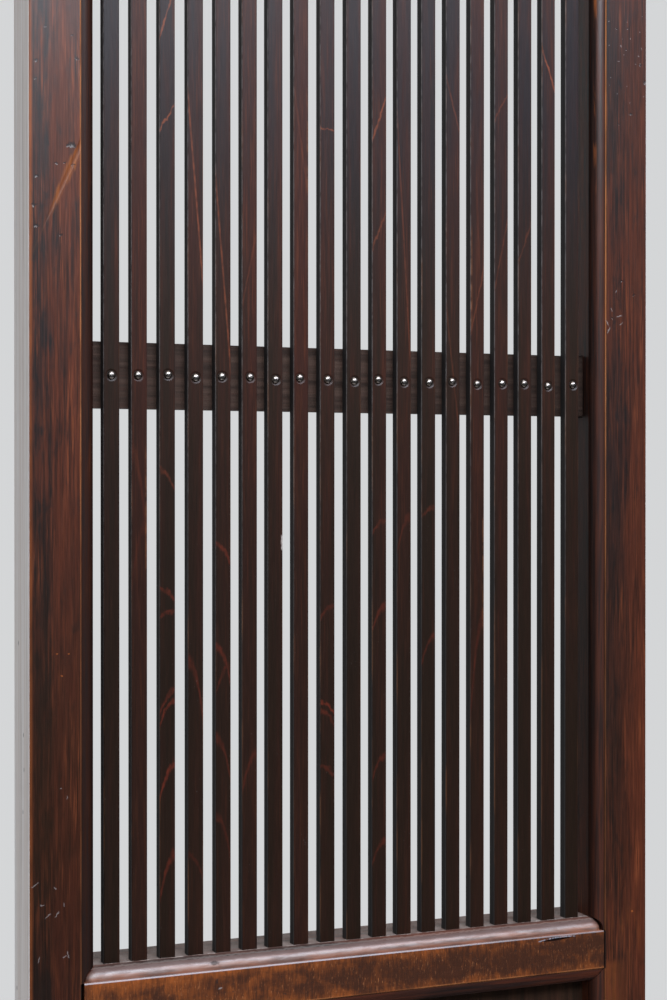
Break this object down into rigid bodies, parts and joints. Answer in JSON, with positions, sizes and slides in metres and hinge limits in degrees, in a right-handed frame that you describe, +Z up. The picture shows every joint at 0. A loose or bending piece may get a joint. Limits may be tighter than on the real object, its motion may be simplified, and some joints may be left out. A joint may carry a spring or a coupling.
{
  "type": "lattice door",
  "caption": "Framed door leaf in dark stained wood: upright slats nailed to a batten fill the upper opening, a plain panel the lower, inside a mitred roll moulding.",
  "frame": {"origin": "on the floor line, under the middle of the leaf's width and thickness", "axes": "+Z up along the slats, +X across the leaf to the right as seen from the front, +Y from the front face to the back"},
  "size_m": [0.5274, 0.05, 1.75],
  "materials": {
    "stile_wood": "dark brown stain under worn satin varnish",
    "rail_wood": "red-brown stain under worn satin varnish",
    "slat_wood": "near-black brown stain, satin",
    "batten_wood": "dark brown stain, dull",
    "panel_wood": "dark brown stain, satin",
    "nail_steel": "bright domed head"
  },
  "bodies": {
    "root": {"left_stile": "stile_wood", "right_stile": "stile_wood", "top_rail": "rail_wood", "middle_rail": "rail_wood", "bottom_rail": "rail_wood", "lower_panel": "panel_wood", "batten": "batten_wood", "slat_nails": "nail_steel", "slat_01": "slat_wood", "slat_02": "slat_wood", "slat_03": "slat_wood", "slat_04": "slat_wood", "slat_05": "slat_wood", "slat_06": "slat_wood", "slat_07": "slat_wood", "slat_08": "slat_wood", "slat_09": "slat_wood", "slat_10": "slat_wood", "slat_11": "slat_wood", "slat_12": "slat_wood", "slat_13": "slat_wood", "slat_14": "slat_wood", "slat_15": "slat_wood", "slat_16": "slat_wood", "slat_17": "slat_wood", "slat_18": "slat_wood", "slat_19": "slat_wood"}
  },
  "joints": []
}
